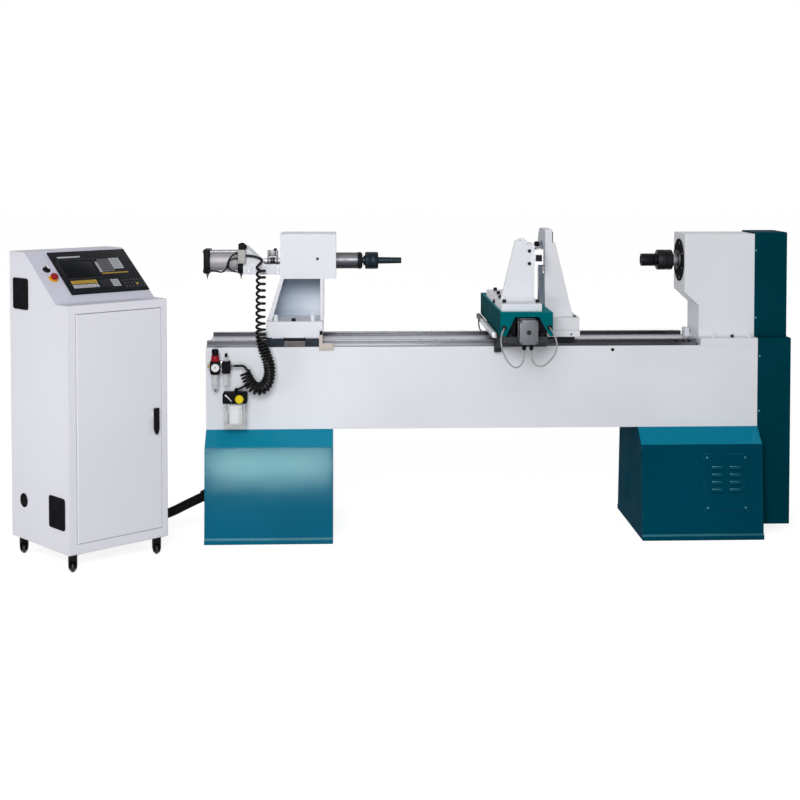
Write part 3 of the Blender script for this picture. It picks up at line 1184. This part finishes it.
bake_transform(coil_hose)
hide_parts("coil_hose")
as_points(read_line(coil_points, 2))

# The lubrication pump: a black head over a clear oil tank, screwed to the bed's front.
# A yellow pull knob and a grey link show on its front, and a black lever works it from the top.
head = bmesh.new()
box(head, (84, -276, 648), (196, -196, 697), 5.0, 3)
box(head, (95, -197, 600), (185, -190, 690), 1.0)
for station in (92, 188):
    box(head, (station - 4, -279, 653), (station + 4, -274, 692), 1.5)
PIVOT_EAR = ((136, 696), (152, 696), (152, 710), (148, 714), (140, 714), (136, 710))
for front in (-241, -215):
    plate(head, [(station, front, height) for station, height in PIVOT_EAR], (0, 6, 0), 0.8)
piece("pump_head", head, LATHE, body_black, "frame", ["oil_pump"])
tank = bmesh.new()
for low, high in (
    ((87, -273, 529), (193, -199, 532)),
    ((87, -273, 532), (90, -199, 648)),
    ((190, -273, 532), (193, -199, 648)),
    ((90, -273, 532), (190, -270, 648)),
    ((90, -202, 532), (190, -199, 648)),
):
    box(tank, low, high, 0.7)
piece("oil_tank", tank, LATHE, clear_bowl, "frame", ["oil_pump"])
oil = bmesh.new()
box(oil, (90.4, -269.6, 532.4), (189.6, -202.4, 556), 0.8)
pale_oil = clear_plastic("pale_oil", (0.86, 0.80, 0.62), 0.08, 0.22)
piece("oil_fill", oil, LATHE, pale_oil, "frame", ["oil_pump"])
card = bmesh.new()
box(card, (115, -268, 551), (174, -267, 640), 0.3)
piece("tank_card", card, LATHE, dial_white, "frame", ["oil_pump"])
suction = bmesh.new()
bar(suction, (109, -245, 548), (109, -245, 649), 3, 0.3, 12)
turned(suction, (109, -245, 534), UP, [(0, 0), (0, 9), (14, 9), (14, 0)], 20, (0.8, 1, 13))
bar(suction, (182, -240, 560), (182, -240, 649), 2, 0.3, 10)
piece("pump_suction", suction, LATHE, cloudy_plastic, "frame", ["oil_pump"])
scale_marks = bmesh.new()
for count in range(6):
    box(scale_marks, (160, -273.5, 560 + 13 * count), (168 + 4 * (count % 2), -272.9, 561.2 + 13 * count))
box(scale_marks, (111, -273.5, 552), (112.6, -272.9, 606))
piece("tank_scale", scale_marks, LATHE, ink_black, "frame", ["oil_pump"])
yellow_plastic = moulded("yellow_plastic", (0.72, 0.55, 0.008), 0.35, pebble=0.06, drift=0.06)
pull = bmesh.new()
pull_corners = [(0, 0), (0, 9), (5, 9), (6, 18), (8, 21), (11.5, 21), (14, 17), (14, 0)]
turned(pull, (163, -276, 671), FRONT, pull_corners, 16, (2.6, 5.5, 13))
piece("pump_pull", pull, LATHE, yellow_plastic, "frame", ["oil_pump"])
link = bmesh.new()
plate(link, [(97, -281, 690), (100, -281, 693), (128, -281, 662), (125, -281, 659)], (0, 4, 0), 0.8)
cap_screw(link, (100, -281, 689), FRONT, 4, 3)
piece("pump_link", link, LATHE, zinc, "frame", ["oil_pump"])
dress(blackened, "pump_lever")
lever_grip = bmesh.new()
GRIP_RUN = Vector((28, 0, 11.6))
grip_corners = [(0, 0), (0, 8.1), (2, 8.8), (25, 9.4), (29, 8), (31, 4), (31, 0)]
turned(lever_grip, (190, -225, 725), GRIP_RUN, grip_corners, 24)
piece("lever_grip", lever_grip, LATHE, black_plastic, "oil_lever")

# The control cabinet: folded sheet with a sloped desk, powder-coated in a fine pale texture.
# It is drawn in its own frame: x runs along its front, y into its depth; it stands turned to the lathe.
CABINET_TURN = Matrix.Rotation(math.radians(41), 4, "Z")
CABINET = Matrix.Translation((-1.491, -0.668, 0)) @ CABINET_TURN @ Matrix.Scale(0.001, 4)


def powder_coat(name, colour, top_colour):
    """Baked powder: an even coat with a fine pebbled skin and soft folded edges, another on faces up."""
    finish, shader = new_finish(name)
    normal, along = rounded_edges(finish, 0.005)
    coats = tint(finish, grain(finish, 1.6, detail=4), *shades(colour, 0.02))
    coats = more_coats(finish, coats, BY_NORMAL, [("Z", 0.4, 0.7, top_colour)])
    rub = times(finish, along, spread(finish, grain(finish, 40, detail=6), 0.0, 0.5, (0.5, 0.7)))
    rubbed = [value * 0.85 for value in colour]
    wire(finish, laid_over(finish, rub, coats, rubbed), shader.inputs["Base Color"])
    wire(finish, spread(finish, grain(finish, 260, detail=2), 0.38, 0.52), shader.inputs["Roughness"])
    skin(finish, shader, grain(finish, 700, detail=1), 0.16, normal)
    shader.inputs["Specular IOR Level"].default_value = 0.25
    return finish


cabinet_coat = powder_coat("cabinet_coat", (0.79, 0.79, 0.86), (0.64, 0.64, 0.75))
dress(cabinet_coat, "cabinet_shell", "cabinet_door")
GROMMET_PLACE = (0, 389, 256)
grommet = bmesh.new()
grommet_corners = [(-3, 0), (-3, 27), (0, 27), (0, 32), (3, 31), (4.6, 27), (2.5, 24), (1.2, 6), (1.2, 0)]
turned(grommet, GROMMET_PLACE, LEFT, grommet_corners, 40)
piece("cable_grommet", grommet, CABINET, matte_black, "frame")

# The filter grilles on the cabinet's left side: black moulded plates with round corners.
# Upright ribs stand on them over the filter mat.
GRILLE_PLACES = ((400, 1185), (98, 250))
grilles = bmesh.new()
for depth, height in GRILLE_PLACES:
    rim = []
    for corner, (inward, low) in enumerate(((54, -58), (54, 58), (-54, 58), (-54, -58))):
        for step in range(5):
            turn = math.radians(90 * corner - 90 + 22.5 * step)
            rim.append((0, depth + inward + 12 * math.cos(turn), height + low + 12 * math.sin(turn)))
    plate(grilles, rim, (-5, 0, 0), 1.0)
    for count in range(16):
        left = depth - 58 + 7.4 * count
        box(grilles, (-8, left, height - 62), (-4, left + 4, height + 62), 0.8)
piece("filter_grilles", grilles, CABINET, matte_black, "frame", ["cabinet_grilles"])

# The electrics on the mounting plate inside the cabinet: drives, supply, breakers, trunking, transformer.
# Grey and dark moulded cases on a galvanised plate, seen only when the door is open.
galvanised = machined("galvanised_plate", (0.55, 0.56, 0.57), 0.45, (30, 30, 30), drift=0.15)
grey_case = moulded("grey_case", (0.30, 0.31, 0.33), 0.5)
MOUNT_FACE = 478
MOUNT_BACK = 482
back_plate = bmesh.new()
box(back_plate, (45, MOUNT_FACE, 150), (460, MOUNT_BACK, 1050), 0.8)
for station, height in product((70, 435), (180, 1020)):
    bar(back_plate, (station, MOUNT_BACK, height), (station, 497, height), 8, 0.5, 16)
piece("mounting_plate", back_plate, CABINET, galvanised, "frame", ["electrics"])
drives = bmesh.new()
for left, right in ((70, 190), (205, 295)):
    box(drives, (left, 350, 700), (right, MOUNT_FACE, 960), 3.0)
    for count in range(6):
        box(drives, (left + 10, 347, 716 + 10 * count), (right - 10, 351, 720 + 10 * count), 0.6)
    box(drives, (left + 18, 346, 880), (right - 18, 351, 935), 1.5)
box(drives, (90, 350, 200), (250, MOUNT_FACE, 350), 4.0)
for station in (104, 142, 180, 218):
    box(drives, (station, 346, 214), (station + 20, 354, 336), 2.0)
piece("drives", drives, CABINET, black_plastic, "frame", ["electrics"])
breakers = bmesh.new()
toggles = bmesh.new()
for left in range(315, 424, 18):
    box(breakers, (left, 412, 850), (left + 17, MOUNT_FACE, 940), 1.2)
    box(breakers, (left + 2, 404, 870), (left + 15, 413, 920), 1.0)
    box(toggles, (left + 5, 396, 896), (left + 12, 405, 910), 1.2)
for low, high in ((620, 665), (500, 550)):
    box(breakers, (60, 430, low), (450, MOUNT_FACE, high), 1.5)
    for count in range(32):
        box(breakers, (66 + 12 * count, 428.6, low + 6), (71 + 12 * count, 431, high - 6), 0.4)
piece("breakers", breakers, CABINET, grey_case, "frame", ["electrics"])
piece("breaker_toggles", toggles, CABINET, ink_black, "frame", ["electrics"])

# The door handle: a black swing paddle on a stem through the door, over a moulded seat with a lock.
# The paddle and its lock turn on the stem, and the seat stays on the door.
HANDLE_X = 437
STEM_Z = 640
paddle = bmesh.new()
PADDLE = [(-12, 671), (12, 671), (12, 577), (8, 563), (3, 553), (-3, 553), (-8, 563), (-12, 577)]
plate(paddle, [(HANDLE_X + across, -23.3, up) for across, up in PADDLE], (0, 14, 0), 2.5, 3)
box(paddle, (HANDLE_X - 8, -25.5, 578), (HANDLE_X + 8, -21, 626), 2.0, 3)
bar(paddle, (HANDLE_X, -10, STEM_Z), (HANDLE_X, 0.5, STEM_Z), 5, 0.5, 20)
piece("handle_paddle", paddle, CABINET, black_plastic, "latch", ["door_handle"])
lock = bmesh.new()
lock_corners = [(0, 0), (0, 8), (2.2, 8), (3, 7), (3, 2.4), (1.4, 2), (1.4, 0)]
turned(lock, (HANDLE_X, -23, 652), FRONT, lock_corners, 24)
piece("handle_lock", lock, CABINET, black_oxide, "latch")
seat = bmesh.new()
seat_corners = [(0, 6.4), (0, 12), (5.4, 12), (6.4, 11), (6.4, 6.4)]
turned(seat, (HANDLE_X, -2, STEM_Z), FRONT, seat_corners, 32, closed=True)
piece("handle_seat", seat, CABINET, black_plastic, "door")

# The control panel on the desk's slope: a black plate under gloss film, with a screen and membrane keys.
# It is drawn on the slope: x along the front, y up the slope, z out of it. A pale strip tops the screen.
SLOPE = CABINET @ Matrix.Translation((0, 100, 1158)) @ Matrix.Rotation(math.atan2(214, 270), 4, "X")


def smeared(name, first, second, roughness, gloss, smear, wrinkles=0.0):
    """A dark shiny sheet with faint smears; smear is their noise's scale, detail and stretch."""
    finish, shader = new_finish(name)
    smears = grain(finish, *smear)
    wire(finish, tint(finish, smears, first, second), shader.inputs["Base Color"])
    wire(finish, spread(finish, smears, *roughness), shader.inputs["Roughness"])
    if wrinkles:
        skin(finish, shader, grain(finish, 25, detail=2), wrinkles)
    shader.inputs["Specular IOR Level"].default_value = gloss
    return finish


gloss_film = smeared(
    "gloss_film", (0.006, 0.007, 0.010), (0.011, 0.013, 0.018), (0.2, 0.34), 0.05, (14, 6, (1, 1, 3)), 0.05
)
screen_glass = smeared(
    "screen_glass", (0.003, 0.0035, 0.005), (0.008, 0.010, 0.014), (0.12, 0.2), 0.04, (9, 3)
)
PANEL_FACE = 8
panel = bmesh.new()
box(panel, (103, 48, 0), (503, 326, PANEL_FACE), 2.0, 3)
piece("panel_plate", panel, SLOPE, gloss_film, "frame", ["control_panel"])
bezel = bmesh.new()
for left, low, right, high in (
    (118, 138, 306, 144), (118, 262, 306, 268), (118, 138, 124, 268), (300, 138, 306, 268),
):
    box(bezel, (left, low, 7.5), (right, high, 10.5), 1.0)
piece("screen_bezel", bezel, SLOPE, ink_black, "frame", ["control_panel"])
screen = bmesh.new()
box(screen, (124, 144, 7), (300, 262, 8.6), 0.4)
piece("panel_screen", screen, SLOPE, screen_glass, "frame", ["control_panel"])
KEY_FOOT = 7.6


def keys(shape, low, high, columns, rows, gap=2.0):
    """A field of raised membrane keys between two corners on the panel."""
    wide = (high[0] - low[0] + gap) / columns
    tall = (high[1] - low[1] + gap) / rows
    for column, row in product(range(columns), range(rows)):
        left = low[0] + column * wide
        bottom = low[1] + row * tall
        box(shape, (left, bottom, KEY_FOOT), (left + wide - gap, bottom + tall - gap, 9.2), 0.5)


key_white = moulded("key_white", (0.44, 0.45, 0.49), 0.35, pebble=0.03, drift=0.04)
key_grey = moulded("key_grey", (0.13, 0.133, 0.145), 0.35, pebble=0.03, drift=0.1)
key_dark = moulded("key_dark", (0.03, 0.031, 0.036), 0.35, pebble=0.03, drift=0.2)
key_yellow = moulded("key_yellow", (0.46, 0.29, 0.04), 0.35, pebble=0.03, drift=0.08)
pale_keys = bmesh.new()
keys(pale_keys, (388, 194), (442, 266), 3, 5)
keys(pale_keys, (308, 178), (322, 246), 1, 6)
keys(pale_keys, (131, 82), (259, 104), 9, 1)
keys(pale_keys, (331, 80), (371, 126), 3, 4)
box(pale_keys, (136, 282, KEY_FOOT), (252, 292, 8.6), 0.4)
piece("pale_keys", pale_keys, SLOPE, key_white, "frame", ["control_panel"])
dim_keys = bmesh.new()
keys(dim_keys, (326, 178), (385, 264), 4, 6)
piece("dim_keys", dim_keys, SLOPE, key_grey, "frame", ["control_panel"])
dark_keys = bmesh.new()
keys(dark_keys, (273, 80), (326, 126), 5, 4, 4.0)
keys(dark_keys, (388, 66), (494, 122), 6, 3, 6.0)
piece("dark_keys", dark_keys, SLOPE, key_dark, "frame", ["control_panel"])
bright_keys = bmesh.new()
keys(bright_keys, (131, 109), (261, 131), 9, 1)
box(bright_keys, (312, 165, KEY_FOOT), (450, 172, 8.8), 0.5)
start_corners = [(0, 0), (0, 6), (2.4, 6), (3.4, 4.6), (3.4, 0)]
turned(bright_keys, (457, 88, KEY_FOOT), OUT_OF_PANEL, start_corners, 20)
piece("yellow_keys", bright_keys, SLOPE, key_yellow, "frame", ["control_panel"])
panel_screws = bmesh.new()
panel_screw_corners = [(0, 0), (0, 3), (1, 3), (1.6, 1.6), (1.6, 0)]
for place in product((109, 497), (54, 320), [PANEL_FACE]):
    turned(panel_screws, place, OUT_OF_PANEL, panel_screw_corners, 14)
piece("panel_screws", panel_screws, SLOPE, black_oxide, "frame")

# The emergency stop: a red mushroom head on a shaft, over an orange collar on the slope.
# Beside it a black selector with a white pointer turns in a black bezel.
ESTOP = (64, 161, 0)
SELECTOR = (56, 220, 0)
stop_collar = bmesh.new()
stop_collar_corners = [(0, 9.6), (0, 22), (2, 22), (4.5, 19), (4.5, 9.6)]
turned(stop_collar, ESTOP, OUT_OF_PANEL, stop_collar_corners, 36, closed=True)
collar_orange = moulded("collar_orange", (0.75, 0.33, 0.02), 0.35, pebble=0.06, drift=0.08)
piece("stop_collar", stop_collar, SLOPE, collar_orange, "frame")
stop_head = bmesh.new()
stop_corners = [(-18, 0), (-18, 9), (11, 9), (11, 14), (13, 16.5), (18, 17), (22, 15)]
stop_corners += [(24.5, 10), (25.2, 0)]
turned(stop_head, ESTOP, OUT_OF_PANEL, stop_corners, 36)
piece("stop_head", stop_head, SLOPE, red_plastic, "stop_button", ["estop_button"])
selector_ring = bmesh.new()
selector_ring_corners = [(0, 13.4), (0, 18), (3, 18), (5, 16), (5, 13.4)]
turned(selector_ring, SELECTOR, OUT_OF_PANEL, selector_ring_corners, 36, closed=True)
piece("selector_ring", selector_ring, SLOPE, black_oxide, "frame")
selector = bmesh.new()
selector_corners = [(-18, 0), (-18, 8), (2.5, 8), (2.5, 13), (8, 13), (10, 11.5), (10, 0)]
turned(selector, SELECTOR, OUT_OF_PANEL, selector_corners, 32)
box(selector, (52, 208, 9), (60, 232, 20), 1.6, 3)
piece("selector_grip", selector, SLOPE, black_plastic, "mode_selector", ["selector_knob"])
pointer = bmesh.new()
box(pointer, (52.2, 208.4, 19.2), (59.8, 231.6, 21.2), 0.6)
piece("selector_pointer", pointer, SLOPE, dial_white, "mode_selector")

# The casters: black forks that swivel under the cabinet, each with a rounded rubber wheel.
# Moulded covers hang from the fork over both sides of the wheel and bend in round its foot.
tyre_rubber = moulded("tyre_rubber", (0.008, 0.0082, 0.009), 0.28, pebble=0.1, gloss=0.3)
CASTER_PLACES = ((38, 38), (467, 38), (38, 462), (467, 462))
TRAIL_TURN = Matrix.Rotation(math.radians(-120.4), 4, "Z")
TYRE_HALF = [(0, 0), (0, 14), (0.5, 16.5), (2, 19.5), (4.5, 22.4), (7.5, 24.3)]
TYRE = TYRE_HALF + [(11, 25)] + [(22 - across, radius) for across, radius in reversed(TYRE_HALF)]
COVER_RINGS = (
    (7, 12.9, 9), (12, 14.4, 16), (18, 16.4, 21), (25, 18.4, 24), (33, 19.5, 25), (62, 19.6, 25),
    (78.6, 19.6, 22),
)
COVER_INSIDE = 12.2
TRAIL = 20
AXLE = (0, 1, 0)
for number, (across, depth) in enumerate(CASTER_PLACES, 1):
    dress(blackened, f"caster_fork_{number}")
    swivel = CABINET @ Matrix.Translation((across, depth, 0)) @ TRAIL_TURN
    cover = bmesh.new()
    box(cover, (-4, -12.4, 53.5), (44, 12.4, 78.4), 0.5)
    box(cover, (-6.8, -12.4, 7), (-5.5, 12.4, 78.4), 0.3)
    for side in (-1, 1):
        rings = []
        for height, wide, deep in COVER_RINGS:
            shoulder = (wide + COVER_INSIDE) / 2
            outline = ((-deep, COVER_INSIDE), (deep, COVER_INSIDE), (deep, shoulder), (deep * 0.6, wide))
            outline += ((-deep * 0.6, wide), (-deep, shoulder))
            rings.append([(TRAIL + along, side * out, height) for along, out in outline])
        loft(cover, rings)
    piece(f"caster_cover_{number}", cover, swivel, black_plastic, f"swivel_{number}")
    tyre = bmesh.new()
    turned(tyre, (TRAIL, -11, 25), AXLE, TYRE, 40)
    piece(
        f"caster_tyre_{number}", tyre, swivel, tyre_rubber, f"roller_{number}",
        [f"caster_wheel_{number}"],
    )

# The power conduit: a black nylon tube between the cabinet's gland and the left base's gland.
# It hangs along the drawing's route, in metres.
CONDUIT_RADIUS = 0.022
gland_mouth = CABINET @ Vector((519, 260, 106))
CONDUIT_ROUTE = [
    gland_mouth,
    CABINET @ Vector((577, 260, 106)),
    on_lathe((-0.212, -0.180, 0.106)),
    on_lathe((-0.160, -0.160, 0.120)),
    on_lathe((-0.0925, -0.150, 0.153)),
    on_lathe((-0.0201, -0.150, 0.18675)),
]
conduit_black = moulded("conduit_black", (0.005, 0.005, 0.006), 0.5, gloss=0.04)
conduit = tube_mesh("power_conduit_hose", CONDUIT_ROUTE, CONDUIT_RADIUS, 24)
conduit.data.materials.append(conduit_black)
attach(conduit, "frame")
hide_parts("power_conduit")
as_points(read_line(CONDUIT_ROUTE, 24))

# The studio: a pale floor that keeps the shadow, a white surround, soft lamps, and the camera at the
# photo's viewpoint. The floor and surround show white to the camera and in reflections.
floor_shape = bmesh.new()
bmesh.ops.create_grid(floor_shape, x_segments=1, y_segments=1, size=40.0)
floor_mesh = bpy.data.meshes.new("floor")
floor_shape.to_mesh(floor_mesh)
floor_shape.free()
floor = bpy.data.objects.new("floor", floor_mesh)
bpy.context.scene.collection.objects.link(floor)


def seen_directly(owner):
    """One where the camera, a reflection or clear plastic looks straight at it, else nothing."""
    path = add_node(owner, "LightPath")
    found = path.outputs["Is Camera Ray"]
    for kind in ("Is Glossy Ray", "Is Transmission Ray"):
        either = add_node(owner, "Math")
        either.operation = "MAXIMUM"
        wire(owner, found, either.inputs[0])
        wire(owner, path.outputs[kind], either.inputs[1])
        found = either.outputs[0]
    return found


FLOOR_LIFT = 0.84
SURROUND_LIGHT = 0.34
pale_floor, floor_shader = new_finish("pale_floor")
floor_shader.inputs["Base Color"].default_value = (0.45, 0.45, 0.45, 1)
floor_shader.inputs["Roughness"].default_value = 0.9
floor_shader.inputs["Specular IOR Level"].default_value = 0.0
floor_shader.inputs["Emission Color"].default_value = (1, 1, 1, 1)
lift = spread(pale_floor, seen_directly(pale_floor), 0.0, FLOOR_LIFT, (0.0, 1.0))
wire(pale_floor, lift, floor_shader.inputs["Emission Strength"])
floor_mesh.materials.append(pale_floor)

world = bpy.data.worlds.new("studio")
bpy.context.scene.world = world
world.use_nodes = True
sky = world.node_tree.nodes["Background"]
sky.inputs["Color"].default_value = (1, 1, 1, 1)
level = spread(world, seen_directly(world), SURROUND_LIGHT, 1.0, (0.0, 1.0))
wire(world, level, sky.inputs["Strength"])


def softbox(name, place, target, wide, tall, power, fan=180):
    """A rectangular lamp aimed at a point; a grid on it narrows the fan of its light, in degrees."""
    lamp = bpy.data.lights.new(name, "AREA")
    lamp.shape = "RECTANGLE"
    lamp.size = wide
    lamp.size_y = tall
    lamp.energy = power
    lamp.spread = math.radians(fan)
    made = bpy.data.objects.new(name, lamp)
    made.location = place
    made.rotation_euler = (Vector(target) - Vector(place)).to_track_quat("-Z", "Y").to_euler()
    bpy.context.scene.collection.objects.link(made)


softbox("key_lamp", (-0.9, -6.6, 3.4), (-0.1, 0.0, 0.9), 2.4, 2.0, 250)
softbox("side_lamp", (-4.2, -2.6, 0.8), (-1.75, -0.42, 0.75), 0.8, 1.4, 3.4, 60)
softbox("floor_strip", (-1.02, -7.2, 0.17), (-0.75, -0.2, 0.3), 1.2, 0.3, 60)

view = bpy.data.cameras.new("photo_camera")
view.sensor_width = 36.0
view.lens = 65.79
view.shift_y = -0.2335
camera = bpy.data.objects.new("photo_camera", view)
camera.location = (-0.299, -6.941, 1.795)
camera.rotation_euler = (math.radians(87.8), 0, math.radians(-2.1))
bpy.context.scene.collection.objects.link(camera)
bpy.context.scene.camera = camera
bpy.context.scene.view_settings.view_transform = "Standard"
